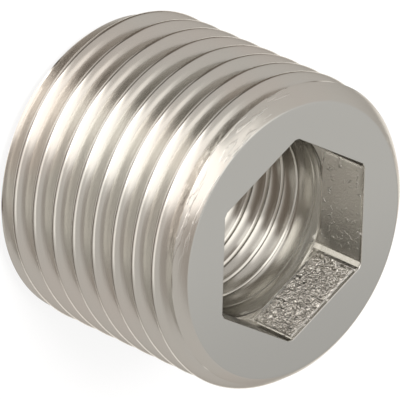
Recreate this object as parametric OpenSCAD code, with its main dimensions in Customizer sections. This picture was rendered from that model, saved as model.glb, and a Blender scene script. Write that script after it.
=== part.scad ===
// Hollow threaded pipe plug, turned from one bar. A parallel pipe thread covers the outside,
// a hexagon socket for a key opens the outer end, and a smaller pipe thread fills the bore
// from the inner end. The plug stands on its inner end with the socket facing up, and one
// corner of the socket points along +X.

/* [Body] */
// Length over both end faces
body_length = 17; // [15:0.5:26]
// How far the chamfer at the socket end goes in and down
outer_chamfer = 1.2; // [0.8:0.05:1.5]
// Radius of the bulge that softens this chamfer
outer_bulge_r = 3.4; // [1.8:0.1:6]
// How far the plain chamfer at the inner end goes in and up
inner_chamfer = 1.1; // [0.6:0.1:1.5]

/* [Outside thread] */
// Diameter over the crests
thread_d = 20.65; // [20.4:0.05:26]
// Distance from one crest to the next
thread_pitch = 1.814; // [1.6:0.002:2.1]
// Depth from crest to root
thread_depth = 1.12; // [0.9:0.01:1.2]
// Angle between the two flanks of a ridge
thread_angle = 55; // [50:1:60]
// How far below the outer face the first whole crest passes the +X side
first_crest = 2.15; // [1.8:0.01:3.6]

/* [Hexagon socket] */
// Width across the flats
socket_flats = 12.05; // [11.9:0.05:12.8]
// Depth below the outer face
socket_depth = 3.8; // [3:0.1:6]
// Width of the broken edge round the mouth
socket_edge = 0.05; // [0.05:0.05:0.3]

/* [Threaded bore] */
// Diameter over the crests of the inside thread
bore_d = 11.8; // [10.8:0.1:11.9]
// Diameter of the tool relief behind the socket
relief_d = 12.2; // [12.1:0.1:13.3]
// Width of the relief at its full diameter
relief_width = 0.8; // [0.4:0.1:1.5]
// Diameter of the countersink at the inner end
countersink_d = 13.4; // [12.5:0.1:14.5]

/* [Hidden] */
$fn = 96;

// Steps in one turn of the outside thread, and on one rounded crest or root
turn_steps = 60;
round_steps = 2;
// How far cutting shapes go past the surfaces that they open
past = 1;

crest_r = thread_d / 2;
root_r = crest_r - thread_depth;
half_angle = thread_angle / 2;
// A full sharp ridge is taller than the thread: what is missing is rounded off, half at each end
sharp_height = thread_pitch / (2 * tan(half_angle));
ridge_round = (sharp_height - thread_depth) / 2 / (1 / sin(half_angle) - 1);

// One pitch of the thread's outline as [height, radius], from a rounded crest to the next
round_angles = [for (i = [0:round_steps]) (2 * i / round_steps - 1) * (90 - half_angle)];
crest_points = [for (a = round_angles) [ridge_round * sin(a), crest_r - ridge_round * (1 - cos(a))]];
root_points = [
    for (a = round_angles) [thread_pitch / 2 + ridge_round * sin(a), root_r + ridge_round * (1 - cos(a))]
];
ridge_points = concat(crest_points, root_points);

// The threaded rod runs past both ends of the body: its two helical ends are cut away
turns_below = ceil((body_length - first_crest) / thread_pitch) + 1;
turns_above = ceil((first_crest + ridge_round) / thread_pitch);
rod_turns = turns_below + turns_above;
rod_foot = body_length - first_crest - turns_below * thread_pitch;

// A point of the screw surface after step i of the helix, at point j of the outline
function screw_point(i, j) =
    let (turn = 360 * i / turn_steps, p = ridge_points[j])
    [p[1] * cos(turn), p[1] * sin(turn), rod_foot + p[0] + thread_pitch * i / turn_steps];

// A right-hand threaded rod as one closed surface. The strip of one turn is stitched to the
// next turn, and a fan closes each end.
module threaded_rod() {
    row = len(ridge_points);
    steps = rod_turns * turn_steps;
    edge_start = (steps + 1) * row;
    foot = edge_start + turn_steps;
    head = foot + 1;
    // Where a point is in the list: the outline's end is the start of the next turn's outline
    function place(i, j) =
        j == row ? place(i + turn_steps, 0) :
        i <= steps ? i * row + j : edge_start + i - steps - 1;
    strip_points = [for (i = [0:steps]) for (j = [0:row - 1]) screw_point(i, j)];
    top_edge = [for (i = [steps + 1:steps + turn_steps]) screw_point(i, 0)];
    foot_point = [0, 0, rod_foot];
    head_point = [0, 0, rod_foot + (rod_turns + 1) * thread_pitch];
    sides = [
        for (i = [0:steps - 1]) for (j = [0:row - 1])
            each [
                [place(i, j), place(i, j + 1), place(i + 1, j)],
                [place(i + 1, j), place(i, j + 1), place(i + 1, j + 1)]
            ]
    ];
    foot_fan = concat(
        [for (i = [0:turn_steps - 1]) [foot, place(i, 0), place(i + 1, 0)]],
        [for (j = [0:row - 1]) [foot, place(0, j + 1), place(0, j)]]
    );
    head_fan = concat(
        [for (i = [0:turn_steps - 1]) [head, place(steps + i + 1, 0), place(steps + i, 0)]],
        [for (j = [0:row - 1]) [head, place(steps, j), place(steps, j + 1)]]
    );
    polyhedron(concat(strip_points, top_edge, [foot_point, head_point]), concat(sides, foot_fan, head_fan));
}

// The turned blank: a flat outer face, a softened chamfer and a plain chamfer at the inner end
module turned_blank() {
    wide = crest_r + past;
    half_chord = outer_chamfer / sqrt(2);
    // How far in and down the centre of the bulge lies from the corner of the blank
    bulge_inset = outer_chamfer / 2 + sqrt((outer_bulge_r ^ 2 - half_chord ^ 2) / 2);
    rotate_extrude()
        difference() {
            polygon([
                [0, 0],
                [crest_r - inner_chamfer, 0],
                [wide, inner_chamfer + past],
                [wide, body_length],
                [0, body_length]
            ]);
            translate([crest_r - bulge_inset, body_length - bulge_inset])
                difference() {
                    square(bulge_inset + 2 * past);
                    circle(outer_bulge_r);
                }
        }
}

// The hexagon socket with its broken edge
module socket() {
    corner_r = socket_flats / 2 / cos(30);
    edge_r = (socket_flats / 2 + socket_edge) / cos(30);
    translate([0, 0, body_length - socket_depth])
        cylinder(r = corner_r, h = socket_depth + past, $fn = 6);
    translate([0, 0, body_length - socket_edge])
        cylinder(r1 = corner_r, r2 = edge_r, h = socket_edge, $fn = 6);
}

// The bore with the relief behind the socket and the countersink at the inner end
module bore() {
    relief_top = body_length - socket_depth;
    relief_step = (relief_d - bore_d) / 2;
    sink_step = (countersink_d - bore_d) / 2;
    translate([0, 0, -past])
        cylinder(d = bore_d, h = relief_top + past);
    translate([0, 0, relief_top - relief_width])
        cylinder(d = relief_d, h = relief_width);
    translate([0, 0, relief_top - relief_width - relief_step])
        cylinder(d1 = bore_d, d2 = relief_d, h = relief_step);
    translate([0, 0, -past])
        cylinder(d1 = countersink_d + 2 * past, d2 = bore_d, h = sink_step + past);
}

module hollow_plug() {
    color([0.72, 0.70, 0.67])
        difference() {
            intersection() {
                threaded_rod();
                turned_blank();
            }
            socket();
            bore();
        }
}

hollow_plug();
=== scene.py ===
import math

import bmesh
import bpy
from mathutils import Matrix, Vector, noise


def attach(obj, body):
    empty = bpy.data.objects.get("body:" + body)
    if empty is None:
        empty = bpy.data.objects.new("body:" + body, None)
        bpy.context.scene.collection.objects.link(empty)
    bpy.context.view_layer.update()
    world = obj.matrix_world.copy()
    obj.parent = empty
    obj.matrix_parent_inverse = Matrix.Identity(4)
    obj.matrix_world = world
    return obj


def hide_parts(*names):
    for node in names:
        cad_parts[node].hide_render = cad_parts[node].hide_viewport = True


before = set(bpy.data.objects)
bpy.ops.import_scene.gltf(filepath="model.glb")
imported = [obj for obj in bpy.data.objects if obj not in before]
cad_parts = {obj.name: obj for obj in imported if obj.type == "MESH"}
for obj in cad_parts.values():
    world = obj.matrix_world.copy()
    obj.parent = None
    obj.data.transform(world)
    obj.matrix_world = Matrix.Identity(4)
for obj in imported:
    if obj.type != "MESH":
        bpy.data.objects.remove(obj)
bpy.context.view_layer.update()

# Camera, lamps and ground. The plug stands on its inner end on a plain pale floor, and a long
# lens looks down into the socket. The camera is turned on its side, as in the photograph,
# where the plug's axis runs down to the right.
CAMERA_PLACE = (0.39161, -0.01755, 0.34985)
CAMERA_TURN = (-25.357, -43.387, -147.979)
bpy.ops.object.camera_add(location=CAMERA_PLACE, rotation=[math.radians(a) for a in CAMERA_TURN])
camera = bpy.context.object
camera.name = "camera"
camera.data.lens = 740
camera.data.sensor_width = 36
camera.data.clip_start = 0.05
bpy.context.scene.camera = camera
bpy.context.scene.view_settings.view_transform = "Standard"


class Value:
    """A socket with Python's arithmetic: each operation adds one Math node."""

    def __init__(self, socket):
        self.socket = socket

    def maths(self, operation, *others):
        tree = self.socket.id_data
        node = tree.nodes.new("ShaderNodeMath")
        node.operation = operation
        for place, value in zip(node.inputs, (self, *others)):
            put(tree, place, value)
        return Value(node.outputs[0])

    def __add__(self, other): return self.maths("ADD", other)
    def __radd__(self, other): return self.maths("ADD", other)
    def __sub__(self, other): return self.maths("SUBTRACT", other)
    def __rsub__(self, other): return self.maths("MULTIPLY_ADD", -1, other)
    def __mul__(self, other): return self.maths("MULTIPLY", other)
    def __rmul__(self, other): return self.maths("MULTIPLY", other)
    def __truediv__(self, other): return self.maths("DIVIDE", other)
    def clamp(self): return self.maths("ADD", 0).clamped()

    def clamped(self):
        self.socket.node.use_clamp = True
        return self

    def step(self, low, high):
        """0 below low, 1 above high, and a smooth rise between them."""
        t = ((self - low) / (high - low)).clamped()
        return t * t * (3 - 2 * t)


def put(tree, place, value):
    """Sets an input socket to a number or colour, or links it to another node's output."""
    if isinstance(value, Value):
        tree.links.new(value.socket, place)
    elif isinstance(value, bpy.types.NodeSocket):
        tree.links.new(value, place)
    else:
        place.default_value = value


def add_node(tree, kind, settings=None, **inputs):
    """Adds any other node: its settings first, then the values or links of its sockets."""
    node = tree.nodes.new(kind)
    for name, value in (settings or {}).items():
        setattr(node, name, value)
    for name, value in inputs.items():
        key = int(name[1:]) if name[0] == "_" and name[1:].isdigit() else name.replace("_", " ")
        put(tree, node.inputs[key], value)
    return node


def mix_colours(tree, amount, first, second):
    """The first colour where the amount is 0, the second where it is 1."""
    node = add_node(tree, "ShaderNodeMix", {"data_type": "RGBA"}, _0=amount, _6=first, _7=second)
    return node.outputs[2]


# The studio that the metal mirrors: grey all round, with soft-edged cards, dark and bright, in
# front of it. The camera itself sees plain white.
studio = bpy.data.worlds.new("studio")
studio.use_nodes = True
bpy.context.scene.world = studio
tree = studio.node_tree
tree.nodes.clear()
direction = add_node(tree, "ShaderNodeTexCoord").outputs["Generated"]
split = add_node(tree, "ShaderNodeSeparateXYZ", Vector=direction).outputs
ex, ey, ez = (Value(split[i]) for i in range(3))
DEGREES = 180 / math.pi
azimuth = ey.maths("ARCTAN2", ex) * DEGREES
elevation = ez.maths("ARCSINE") * DEGREES


def card(left, right, low, high, soft):
    """1 inside a card held at these azimuths and elevations, 0 outside, with soft edges."""
    across = azimuth.step(left - soft, left + soft) * (1 - azimuth.step(right - soft, right + soft))
    upright = elevation.step(low - soft, low + soft) * (1 - elevation.step(high - soft, high + soft))
    return across * upright


WALL_LEVEL, GROUND_LEVEL, REAR_LEVEL = 0.605, 0.3, 1.9
level = WALL_LEVEL + GROUND_LEVEL * (1 - elevation.step(-74, -60))
for left, right, low, high, soft, bright in (
    # Ceiling
    (-220, -20, 58, 110, 7, 1.25),
    (-10, 110, 50, 110, 8, 0.4),
    (-85, 10, 44, 66, 6, 1.2),
    (-44, 12, 40, 84, 6, 1.65),
    # Beside and below the windows, for the bore, the socket and the shaded sides of the ridges
    (-95, -36, -41, -19, 5, 0.06),
    (-75, -46, -18, 20, 5, 0.6),
    (-6, 106, -57, -36, 6, 0.15),
    (-135, -95, -58, -26, 6, 0.15),
    (-60, 8, -74, -56, 6, 1.7),
    (-6, 22, -38, -18, 5, 0.7),
    (-36, -8, -42, -18, 4, 1.4),
    # The windows in front, whose light runs over the ridges
    (8, 60, -17, 4, 7, 1.3),
    (-42, 8, -4, 42, 4, 1.8),
    (-41, 8, -18, 4, 4, 3.0),
):
    level = level + (bright - level) * card(left, right, low, high, soft)
# Light from below and behind, for the ridges' edges and the flat in the socket's corner
back = (ex * -0.754 + ey * 0.034 + ez * -0.656).step(0.78, 0.93)
level = level + (REAR_LEVEL - level) * back
level = level + (REAR_LEVEL - level) * card(122, 166, -60, -30, 8)
# Dark parts are browner than pale ones, and what the outer face mirrors is the least warm
paleness = level.step(0.1, 0.6)
warmth = 1 - (ex * -0.745 + ez * 0.667).step(0.7, 0.95)
warmth = warmth * (1 - 0.7 * level.step(1.2, 2.4))
green = level * (0.85 + 0.14 * paleness - 0.04 * warmth)
blue = level * (0.72 + 0.25 * paleness - 0.075 * warmth)
grey = add_node(tree, "ShaderNodeCombineColor", Red=level, Green=green, Blue=blue)
light_path = add_node(tree, "ShaderNodeLightPath").outputs
plain = add_node(tree, "ShaderNodeBackground", Color=(1, 1, 1, 1), Strength=1.0).outputs[0]
mirror = add_node(tree, "ShaderNodeBackground", Color=grey.outputs[0], Strength=1.0).outputs[0]
seen = light_path["Is Camera Ray"]
both = add_node(tree, "ShaderNodeMixShader", _0=seen, _1=mirror, _2=plain).outputs[0]
add_node(tree, "ShaderNodeOutputWorld", Surface=both)

# The floor is white to the camera with a faint shadow, clear from below, and not mirrored
FLOOR_DROP = 0.00002
bpy.ops.mesh.primitive_plane_add(size=12, location=(0, 0, -FLOOR_DROP))
floor = bpy.context.object
floor.name = "floor"
floor.visible_glossy = False
ground = bpy.data.materials.new("pale_ground")
ground.use_nodes = True
tree = ground.node_tree
tree.nodes.clear()
light_path = add_node(tree, "ShaderNodeLightPath").outputs
matt = add_node(tree, "ShaderNodeBsdfDiffuse", Color=(0.9, 0.9, 0.9, 1)).outputs[0]
white = add_node(tree, "ShaderNodeEmission", Color=(1, 1, 1, 1), Strength=1.0).outputs[0]
share = Value(light_path["Is Camera Ray"]) * 0.85
lit = add_node(tree, "ShaderNodeMixShader", _0=share, _1=matt, _2=white).outputs[0]
clear = add_node(tree, "ShaderNodeBsdfTransparent").outputs[0]
under = add_node(tree, "ShaderNodeNewGeometry").outputs["Backfacing"]
shown = add_node(tree, "ShaderNodeMixShader", _0=under, _1=lit, _2=clear).outputs[0]
add_node(tree, "ShaderNodeOutputMaterial", Surface=shown)
floor.data.materials.append(ground)
LAMP_PLACE = (0.25, -0.2, 0.6)
bpy.ops.object.light_add(type="AREA", location=LAMP_PLACE)
lamp = bpy.context.object
lamp.name = "floor_lamp"
lamp.data.size = 0.3
lamp.data.energy = 6
lamp.rotation_euler = Vector(LAMP_PLACE).to_track_quat("Z", "Y").to_euler()
lamp.visible_glossy = False
lamp.visible_camera = False

# Hollow threaded plug: one piece of brass, turned from bar, with a pipe thread cut outside, a
# hexagon socket pressed into the outer end and a smaller pipe thread tapped from the inner end,
# then plated with satin nickel. It is modelled in millimetres and brought to metres at the end.
LENGTH = 17.0
CREST_R = 10.325
PITCH, DEPTH = 1.814, 1.12
FIRST_CREST = 2.13
HALF_ANGLE = math.radians(27.5)
SIDES = 180


def edit(on=True):
    bpy.ops.object.mode_set(mode="EDIT" if on else "OBJECT")


def pick(piece, test):
    """Selects the vertices whose place passes the test, and leaves the piece in edit mode."""
    edit()
    bpy.ops.mesh.select_mode(type="VERT")
    bpy.ops.mesh.select_all(action="DESELECT")
    edit(False)
    for v in piece.data.vertices:
        v.select = test(v.co)
    edit()


def start_outline(name, radius, height):
    """A piece of one single vertex, from which an outline is drawn by extruding."""
    bpy.ops.object.select_all(action="DESELECT")
    bpy.ops.mesh.primitive_plane_add(size=1, location=(0, 0, 0))
    piece = bpy.context.object
    piece.name = name
    edit()
    bpy.ops.mesh.merge(type="CENTER")
    bpy.ops.transform.translate(value=(radius, 0, height))
    return piece


def draw(step_out, step_up):
    bpy.ops.mesh.extrude_region_move(TRANSFORM_OT_translate={"value": (step_out, 0, step_up)})


def wind_up(piece, pitch, turns, sides):
    """Winds an outline of one pitch into a skin of many turns, and closes the seams."""
    wind = piece.modifiers.new("thread", "SCREW")
    wind.axis = "Z"
    wind.steps = wind.render_steps = sides
    wind.angle = math.tau
    wind.screw_offset = pitch
    wind.iterations = turns
    bpy.ops.object.modifier_apply(modifier=wind.name)
    edit()
    bpy.ops.mesh.select_all(action="SELECT")
    bpy.ops.mesh.remove_doubles(threshold=1e-4)
    edit(False)


def screw_skin(name, crest_r, root_r, pitch, crest_round, root_round, foot, turns, sides):
    """One pitch of a thread outline, from mid flank to mid flank, drawn with sharp corners that
    are then rounded, and wound up by the Screw modifier."""
    drawn_back = 0.924  # how far a bevel takes a corner back, as a share of its rounding
    crest_tip = crest_r + crest_round * drawn_back
    root_tip = root_r - root_round * drawn_back
    mid = (crest_tip + root_tip) / 2
    piece = start_outline(name, mid, foot - pitch / 4)
    draw(crest_tip - mid, pitch / 4)
    draw(root_tip - crest_tip, pitch / 2)
    draw(mid - root_tip, pitch / 4)
    for tip, rounding in ((crest_tip, crest_round), (root_tip, root_round)):
        pick(piece, lambda co: abs(co.x - tip) < 1e-4)
        bpy.ops.mesh.bevel(
            offset=rounding / math.tan(HALF_ANGLE), segments=8, affect="VERTICES", profile=0.5
        )
    edit(False)
    lengths = [
        (piece.data.vertices[e.vertices[0]].co - piece.data.vertices[e.vertices[1]].co).length
        for e in piece.data.edges
    ]
    longest = max(lengths)
    # The whole flank is cut first, and then the two half flanks at the outline's ends
    for cuts, share in ((5, 0.9), (2, 0.4)):
        edit()
        bpy.ops.mesh.select_mode(type="EDGE")
        bpy.ops.mesh.select_all(action="DESELECT")
        edit(False)
        for e in piece.data.edges:
            a, b = (piece.data.vertices[i].co for i in e.vertices)
            e.select = (a - b).length > share * longest
            for i in e.vertices:
                piece.data.vertices[i].select = piece.data.vertices[i].select or e.select
        edit()
        bpy.ops.mesh.subdivide(number_cuts=cuts)
        edit(False)
    wind_up(piece, pitch, turns, sides)
    return piece


def lesser(a, b, soft):
    """The smaller of two radii, with the corner between them softened over a width."""
    h = max(soft - abs(a - b), 0) / soft
    return min(a, b) - h * h * soft / 4


def greater(a, b, soft):
    """The larger of two radii, softened in the same way."""
    return -lesser(-a, -b, soft)


def turn(piece, radius_at):
    """Moves every vertex in or out, as a lathe tool would, to the radius given for it."""
    for v in piece.data.vertices:
        k = radius_at(v) / math.hypot(v.co.x, v.co.y)
        v.co.x *= k
        v.co.y *= k


def trim(piece, height, above):
    """Cuts the skin off square at a height."""
    edit()
    bpy.ops.mesh.select_all(action="SELECT")
    bpy.ops.mesh.bisect(
        plane_co=(0, 0, height), plane_no=(0, 0, 1), threshold=1e-5,
        clear_outer=above, clear_inner=not above,
    )
    edit(False)


def roll_over(piece, height, rings):
    """Extrudes the open edge at a height over a row of rings, each given as a radius and a height."""
    pick(piece, lambda co: abs(co.z - height) < 1e-4)
    edit(False)
    for radius, up in rings:
        edit()
        bpy.ops.mesh.extrude_region_move()
        edit(False)
        for v in piece.data.vertices:
            if v.select:
                k = radius / math.hypot(v.co.x, v.co.y)
                v.co = (v.co.x * k, v.co.y * k, up)
    edit(False)


def corner_arc(corner_r, corner_z, from_way, to_way, tangent, count):
    """Rings of a small rounding in the corner between two straight outlines. Both ways point
    from the corner along the outline, as (out, up)."""
    rings = []
    for i in range(count + 1):
        t = i / count
        a, b = (1 - t) ** 2 * tangent, t ** 2 * tangent
        rings.append((
            corner_r + a * from_way[0] + b * to_way[0],
            corner_z + a * from_way[1] + b * to_way[1],
        ))
    return rings


# The outside thread, cut full length, with a bulged chamfer outside and a plain one inside
OUTER_CHAMFER, BULGE_R, INNER_CHAMFER = 1.2, 3.4, 1.1
bulge_inset = OUTER_CHAMFER / 2 + math.sqrt((BULGE_R ** 2 - OUTER_CHAMFER ** 2 / 2) / 2)
foot_crest = LENGTH - FIRST_CREST - 9 * PITCH
CREST_ROUND, ROOT_ROUND = 0.6, 0.04
outside = screw_skin(
    "plug", CREST_R, CREST_R - DEPTH, PITCH, CREST_ROUND, ROOT_ROUND, foot_crest, 11, SIDES
)


def outside_radius(v):
    """Radius after the two chamfers are turned on the thread."""
    r, z = math.hypot(v.co.x, v.co.y), v.co.z
    below_bulge = min(max(bulge_inset - (LENGTH - z), 0), BULGE_R - 0.2)
    bulge = CREST_R - bulge_inset + math.sqrt(BULGE_R ** 2 - below_bulge ** 2)
    plain_chamfer = CREST_R - INNER_CHAMFER + z
    return lesser(lesser(r, bulge, 0.12), plain_chamfer, 0.1)


turn(outside, outside_radius)
face_r = CREST_R - bulge_inset + math.sqrt(BULGE_R ** 2 - bulge_inset ** 2)
slope = bulge_inset / math.sqrt(BULGE_R ** 2 - bulge_inset ** 2)
way_down = (math.sin(math.atan(slope)), -math.cos(math.atan(slope)))
TOP_ROLL, FOOT_ROLL = 0.1, 0.08
FLAT_RING = 0.05
top_cut = LENGTH + TOP_ROLL * way_down[1]
trim(outside, top_cut, True)
rings = corner_arc(face_r, LENGTH, way_down, (-1, 0), TOP_ROLL, 4)[1:]
roll_over(outside, top_cut, rings + [(rings[-1][0] - FLAT_RING, LENGTH)])
foot_way = (math.sqrt(0.5), math.sqrt(0.5))
foot_cut = FOOT_ROLL * foot_way[1]
trim(outside, foot_cut, False)
rings = corner_arc(CREST_R - INNER_CHAMFER, 0, foot_way, (-1, 0), FOOT_ROLL, 3)[1:]
roll_over(outside, foot_cut, rings + [(rings[-1][0] - FLAT_RING, 0)])

# The bore: drilled, then tapped from the inner end. The tap's lead leaves shallower grooves
# towards the socket, and the inner end is countersunk.
BORE_R = 5.9
BORE_PITCH, BORE_SIDES = 1.337, 144
BORE_FIRST_ROOT = 6.67
GROOVE_DEPTH, EASY_SIDE = 0.15, 1.05
LEAD_START, LEAD_END = 2.5, 8.5
SOCKET_DEPTH = 3.8
LEDGE_R, LEDGE_DEPTH, UNDERCUT_TAPER = 6.4, 4.0, 0.45
SINK_R = 6.7
bore_foot = LENGTH - BORE_FIRST_ROOT - 10 * BORE_PITCH
bore = start_outline("bore", BORE_R, bore_foot)
# One pitch, in micrometres from point to point: they lie closest at the groove, at both ends
to_middle = (30, 30, 35, 40, 45, 55, 75, 110, 248.5)
for rise in to_middle + to_middle[::-1]:
    draw(0, rise / 1000)
edit(False)
wind_up(bore, BORE_PITCH, 14, BORE_SIDES)


def groove_depth(v):
    """Depth of the tap's cut: a steep side under each groove and a long easy one above it."""
    turned = (v.co.z - bore_foot) / BORE_PITCH - math.atan2(v.co.y, v.co.x) / math.tau
    above = (turned - math.floor(turned)) * BORE_PITCH
    easy = GROOVE_DEPTH * max(1 - above / EASY_SIDE, 0) ** 2
    steep = GROOVE_DEPTH - (BORE_PITCH - above) / math.tan(HALF_ANGLE)
    return max(greater(easy, steep, 0.03), 0)


def bore_radius(v):
    """Radius of the tapped bore, of the undercut behind the socket and of the countersink."""
    deep = LENGTH - v.co.z
    lead = min(max((LEAD_END - deep) / (LEAD_END - LEAD_START), 0), 1)
    undercut = LEDGE_R - UNDERCUT_TAPER * max(deep - LEDGE_DEPTH, 0)
    wall = BORE_R + (1 - lead) * groove_depth(v)
    return greater(greater(wall, undercut, 0.4), SINK_R - v.co.z, 0.08)


turn(bore, bore_radius)
socket_floor = LENGTH - SOCKET_DEPTH
BAND_TOP = socket_floor - 0.2
BAND_GAP = 0.01
SINK_EDGE = 0.03
trim(bore, BAND_TOP, True)
trim(bore, SINK_EDGE, False)
roll_over(bore, SINK_EDGE, [(SINK_R + 0.012, 0), (SINK_R + 0.05, 0)])

# The socket: a hexagon with a narrow flat in each corner, and walls torn a little by the broach
SOCKET_FLAT = 12.1
CORNER_CUT = 0.2
WALL_CUTS, ROWS = 62, 36
MOUTH = 0.055
MOUTH_RINGS = ((0.01, 0.025), (0.026, 0.018), (0.046, 0.009), (0.07, 0.003), (0.1, 0))
bpy.ops.object.select_all(action="DESELECT")
bpy.ops.mesh.primitive_circle_add(
    vertices=6, radius=SOCKET_FLAT / 2 / math.cos(math.pi / 6), location=(0, 0, socket_floor),
    rotation=(0, 0, -math.pi / 6),
)
socket = bpy.context.object
socket.name = "socket"
bpy.ops.object.transform_apply()
edit()
bpy.ops.mesh.select_all(action="SELECT")
bpy.ops.mesh.bevel(offset=CORNER_CUT, segments=1, affect="VERTICES")
bpy.ops.mesh.select_mode(type="EDGE")
bpy.ops.mesh.select_all(action="DESELECT")
edit(False)
for e in socket.data.edges:
    a, b = (socket.data.vertices[i].co for i in e.vertices)
    e.select = (a - b).length > 3
    for i in e.vertices:
        socket.data.vertices[i].select = True
edit()
bpy.ops.mesh.subdivide(number_cuts=WALL_CUTS)
bpy.ops.mesh.select_all(action="SELECT")
row = (SOCKET_DEPTH - MOUTH) / ROWS
for i in range(ROWS):
    bpy.ops.mesh.extrude_region_move(TRANSFORM_OT_translate={"value": (0, 0, row)})
reach = SOCKET_FLAT / 2
out = 0.0
for wide, up in MOUTH_RINGS:
    bpy.ops.mesh.extrude_region_move(TRANSFORM_OT_translate={"value": (0, 0, up)})
    k = (reach + wide) / (reach + out)
    bpy.ops.transform.resize(value=(k, k, 1), center_override=(0, 0, 0))
    out = wide
edit(False)
roll_over(socket, socket_floor, [
    (LEDGE_R + 0.03, socket_floor - 0.01), (LEDGE_R + 0.01, socket_floor - 0.02),
    (LEDGE_R, socket_floor - 0.05), (LEDGE_R, BAND_TOP + BAND_GAP),
])

# The three skins are joined, and strips of faces close the outer face, the undercut and the foot
for piece in (socket, bore, outside):
    piece.select_set(True)
bpy.context.view_layer.objects.active = outside
bpy.ops.object.join()
plug = outside


def open_edges(piece, height):
    """Selects the open edges that lie at a height."""
    edit()
    bpy.ops.mesh.select_mode(type="EDGE")
    bpy.ops.mesh.select_all(action="DESELECT")
    bpy.ops.mesh.select_non_manifold(
        extend=False, use_wire=False, use_boundary=True, use_multi_face=False,
        use_non_contiguous=False, use_verts=False,
    )
    edit(False)
    for e in piece.data.edges:
        a, b = (piece.data.vertices[i] for i in e.vertices)
        e.select = e.select and abs(a.co.z - height) < 1e-3 and abs(b.co.z - height) < 1e-3
    edit()


def way_round(v):
    """The angle at which a vertex lies round the axis."""
    return math.atan2(v.co.y, v.co.x)


def stitch(piece, in_first, in_second):
    """Closes the gap between two round open edges with a strip of triangles, corner by corner.
    Each test tells from a radius and a height whether a place is on its edge."""
    form = bmesh.new()
    form.from_mesh(piece.data)
    loops = []
    for test in (in_first, in_second):
        ring = [v for v in form.verts if v.is_boundary and test(math.hypot(v.co.x, v.co.y), v.co.z)]
        loops.append(sorted(ring, key=way_round))
    i = j = 0
    a, b = loops
    while i < len(a) or j < len(b):
        next_a = way_round(a[(i + 1) % len(a)]) + (0 if i + 1 < len(a) else math.tau)
        next_b = way_round(b[(j + 1) % len(b)]) + (0 if j + 1 < len(b) else math.tau)
        if j >= len(b) or (i < len(a) and next_a <= next_b):
            form.faces.new((a[i % len(a)], a[(i + 1) % len(a)], b[j % len(b)]))
            i += 1
        else:
            form.faces.new((a[i % len(a)], b[(j + 1) % len(b)], b[j % len(b)]))
            j += 1
    form.to_mesh(piece.data)
    form.free()


open_edges(plug, LENGTH)
bpy.ops.mesh.fill(use_beauty=True)
edit(False)
NEAR = 1e-4
stitch(
    plug, lambda r, z: abs(z - BAND_TOP - BAND_GAP) < NEAR, lambda r, z: abs(z - BAND_TOP) < NEAR
)
stitch(plug, lambda r, z: abs(z) < NEAR and r > 8, lambda r, z: abs(z) < NEAR and r < 8)

# The broach tore the six walls unevenly: one wall is wrinkled all over, the next only pitted.
# The vertices are pushed into the metal, and the amount stays on them for the finish.
WALL_TEARS = (0.8, 0.6, 1.0, 0.45, 0.6, 0.9)
TEAR_DEPTH = 0.06
WALL_HALF = 3.23
tears = plug.data.attributes.new("torn", "FLOAT", "POINT")


def ramp(inside, width):
    """How far a place is inside an edge: 0 on it or outside, 1 from this width on."""
    return min(max(inside / width, 0), 1)


noise.seed_set(1)  # noise_vector would otherwise start from the clock
for v in plug.data.vertices:
    z = v.co.z
    wall = int(way_round(v) % math.tau // (math.pi / 3))
    middle = (wall + 0.5) * math.pi / 3
    way = Vector((math.cos(middle), math.sin(middle), 0))
    if abs(v.co.dot(way) - SOCKET_FLAT / 2) < 0.01 and socket_floor < z < LENGTH - 0.06:
        along = abs(v.co.cross(way).z)
        torn = WALL_TEARS[wall] * ramp(WALL_HALF - along, 0.12) * ramp(z - socket_floor, 0.15)
        torn *= ramp(LENGTH - 0.1 - z, 0.3)
        spot = v.co + noise.noise_vector(v.co * 2.2) * 0.25
        dent = noise.noise(spot * 4.2) + 0.5 * noise.noise(spot * 8.0 + Vector((7, 3, 1)))
        tears.data[v.index].value = torn
        v.co += way * torn ** 3 * TEAR_DEPTH * (dent + 0.35)

# Slivers left by the cuts are merged, and the plug is brought to metres
edit()
bpy.ops.mesh.select_all(action="SELECT")
bpy.ops.mesh.remove_doubles(threshold=0.003)
bpy.ops.mesh.dissolve_degenerate(threshold=0.001)
bpy.ops.mesh.normals_make_consistent(inside=False)
bpy.ops.transform.resize(value=(0.001, 0.001, 0.001), center_override=(0, 0, 0))
edit(False)
bpy.ops.object.shade_smooth_by_angle(angle=math.radians(28))
weighted = plug.modifiers.new("even_normals", "WEIGHTED_NORMAL")
weighted.keep_sharp = True
bpy.ops.object.modifier_apply(modifier=weighted.name)

# Satin nickel: wrinkles and pits where the walls are torn, lathe marks and scuffs outside
nickel = bpy.data.materials.new("satin_nickel")
nickel.use_nodes = True
tree = nickel.node_tree
tree.nodes.clear()
place = add_node(tree, "ShaderNodeTexCoord").outputs["Object"]
torn = Value(add_node(tree, "ShaderNodeAttribute", {"attribute_name": "torn"}).outputs["Fac"])


def noise_at(where, scale, detail=2.0, twist=0.0, rough=0.5):
    """Noise of features about 1 / scale in size, in the unit of the place."""
    return Value(add_node(
        tree, "ShaderNodeTexNoise",
        Vector=where, Scale=scale, Detail=detail, Distortion=twist, Roughness=rough,
    ).outputs[0])


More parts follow.
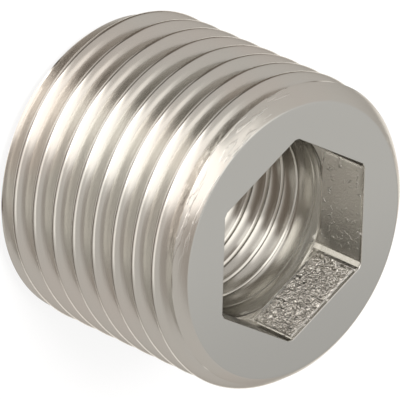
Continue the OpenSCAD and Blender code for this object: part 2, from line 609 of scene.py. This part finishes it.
split = add_node(tree, "ShaderNodeSeparateXYZ", Vector=place).outputs
px, py, pz = (Value(split[i]) * 1000 for i in range(3))
radius = (px * px + py * py).maths("SQRT")
flattened = add_node(
    tree, "ShaderNodeVectorMath", {"operation": "MULTIPLY"}, _0=place, _1=(1, 1, 60)
).outputs[0]
around = add_node(
    tree, "ShaderNodeCombineXYZ", X=radius, Y=py.maths("ARCTAN2", px) * 1.5, Z=pz
).outputs[0]
wrinkles = noise_at(place, 2000, 1.5, 1.5)
pits = noise_at(place, 2300, 1.0, 0.6)
grain = noise_at(place, 6500)
turning = noise_at(flattened, 250)
wear = noise_at(place, 420, 4.0)
streaks = noise_at(around, 5.0, 3.0, rough=0.6)
flecks = noise_at(around, 3.2)

on_face = pz.step(LENGTH - 0.04, LENGTH - 0.01)
outer = radius.step(8.0, 8.4) * (1 - torn.clamp())
rim = radius.step(8.4, 8.8) * pz.step(LENGTH - 1.6, LENGTH - 0.9) * (1 - on_face)
scuffed = rim * (0.3 * (py * -1).step(3.0, 8.0) + 0.9 * (px * 0.95 - py * 0.3).step(6.0, 9.3))
deep_tears = torn * torn * torn * torn * torn
height = (
    deep_tears * (wrinkles * 6.0 + wrinkles.step(0.48, 0.6) * 4.5)
    + torn * (pits.step(0.61, 0.67) * 5.0 + grain * 1.4)
    + turning * 0.02
    + outer * streaks * 0.08
    + scuffed * flecks.step(0.52, 0.62) * 0.35
)
bump = add_node(tree, "ShaderNodeBump", Strength=1.0, Distance=0.00006, Height=height)
rough = (
    0.17 + 0.05 * wear + torn * (0.5 - 0.45 * torn)
    + 0.05 * outer * streaks
    + 0.1 * scuffed * flecks.step(0.5, 0.62)
)
NICKEL, BLUSH, TORN = (0.70, 0.69, 0.655, 1), (0.715, 0.68, 0.64, 1), (0.9, 0.88, 0.84, 1)
# Painted shade: how much the outer face's colour is darkened towards one side
PAINTED_FACE_SHADE = 0.14
blush = noise_at(place, 160).step(0.35, 0.7) * outer * (1 - on_face)
# Painted shade on the outer face: its colour is mixed towards black on one side
painted_face_shade = on_face * (px * -0.5 + py * 0.866).step(-3, 10) * PAINTED_FACE_SHADE
tint = mix_colours(tree, blush, NICKEL, BLUSH)
tint = mix_colours(tree, painted_face_shade, tint, (0, 0, 0, 1))
tint = mix_colours(tree, torn * torn * torn, tint, TORN)
shader = add_node(
    tree, "ShaderNodeBsdfPrincipled", Base_Color=tint, Metallic=1.0, Roughness=rough,
    Normal=bump.outputs[0], Specular_Tint=(0.55, 0.54, 0.52, 1),
)
add_node(tree, "ShaderNodeOutputMaterial", Surface=shader.outputs[0])
plug.data.materials.clear()
plug.data.materials.append(nickel)

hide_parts("hollow_plug")
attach(plug, "root")
